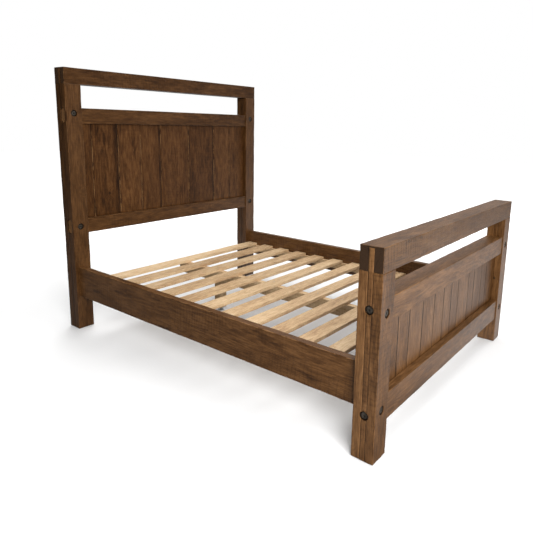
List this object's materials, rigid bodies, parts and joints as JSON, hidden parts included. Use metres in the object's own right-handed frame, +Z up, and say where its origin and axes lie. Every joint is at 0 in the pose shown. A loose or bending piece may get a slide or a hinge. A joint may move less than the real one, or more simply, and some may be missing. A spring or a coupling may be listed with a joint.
{
  "type": "bed frame",
  "caption": "Timber bed frame: tall headboard and low footboard with planked panels, hook-on side rails and a slatted deck on a middle beam.",
  "frame": {"origin": "on the floor, at the middle of the bed's footprint", "axes": "+X across the bed, to the right when looking from the foot to the head; +Y from the footboard to the headboard; +Z up"},
  "size_m": [1.68, 2.27, 1.645],
  "materials": {
    "headboard_timber": "dark walnut stain under a satin clear coat, lightly distressed",
    "headboard_planks": "dark walnut stain under a satin clear coat, uneven between planks",
    "footboard_timber": "greyed brown stain on rough-sawn faces, worn along the edges",
    "footboard_planks": "greyed brown stain, lighter than the rails, with knots",
    "side_rail_timber": "mottled dark walnut stain, satin",
    "plain_timber": "planed softwood, unfinished",
    "bolt_steel": "black oxide, slightly worn",
    "washer_steel": "black oxide, slightly worn",
    "zinc_steel": "zinc plated",
    "glide_felt": "dense brown felt",
    "levelling_foot": "zinc plated"
  },
  "bodies": {
    "frame": {"barrel_nuts": "zinc_steel", "bolt_washers": "washer_steel", "foot_support_leg": "plain_timber", "footboard_bottom_rail": "footboard_timber", "footboard_left_post": "footboard_timber", "footboard_mid_rail": "footboard_timber", "footboard_plank_01": "footboard_planks", "footboard_plank_02": "footboard_planks", "footboard_plank_03": "footboard_planks", "footboard_plank_04": "footboard_planks", "footboard_plank_05": "footboard_planks", "footboard_plank_06": "footboard_planks", "footboard_plank_07": "footboard_planks", "footboard_plank_08": "footboard_planks", "footboard_plank_09": "footboard_planks", "footboard_plank_10": "footboard_planks", "footboard_plank_11": "footboard_planks", "footboard_plank_12": "footboard_planks", "footboard_right_post": "footboard_timber", "footboard_top_rail": "footboard_timber", "head_support_leg": "plain_timber", "headboard_bottom_rail": "headboard_timber", "headboard_left_post": "headboard_timber", "headboard_mid_rail": "headboard_timber", "headboard_plank_01": "headboard_planks", "headboard_plank_02": "headboard_planks", "headboard_plank_03": "headboard_planks", "headboard_plank_04": "headboard_planks", "headboard_plank_05": "headboard_planks", "headboard_plank_06": "headboard_planks", "headboard_plank_07": "headboard_planks", "headboard_plank_08": "headboard_planks", "headboard_right_post": "headboard_timber", "headboard_top_rail": "headboard_timber", "left_side_rail": "side_rail_timber", "left_slat_cleat": "plain_timber", "middle_beam": "plain_timber", "post_bolts": "bolt_steel", "post_glides": "glide_felt", "post_slot_plates": "zinc_steel", "rail_hook_plates": "zinc_steel", "right_side_rail": "side_rail_timber", "right_slat_cleat": "plain_timber", "slat_01": "plain_timber", "slat_02": "plain_timber", "slat_03": "plain_timber", "slat_04": "plain_timber", "slat_05": "plain_timber", "slat_06": "plain_timber", "slat_07": "plain_timber", "slat_08": "plain_timber", "slat_09": "plain_timber", "slat_10": "plain_timber", "slat_11": "plain_timber", "slat_12": "plain_timber", "threaded_inserts": "zinc_steel", "wood_screws": "zinc_steel"},
    "head_leveller": {"head_levelling_foot": "levelling_foot"},
    "foot_leveller": {"foot_levelling_foot": "levelling_foot"}
  },
  "joints": [
    {"name": "head_leveller_screw", "type": "slide", "parent": "frame", "child": "head_leveller", "axis": [0, 0, 1], "range_m": [-0.01, 0.012]},
    {"name": "foot_leveller_screw", "type": "slide", "parent": "frame", "child": "foot_leveller", "axis": [0, 0, 1], "range_m": [-0.01, 0.012]}
  ]
}
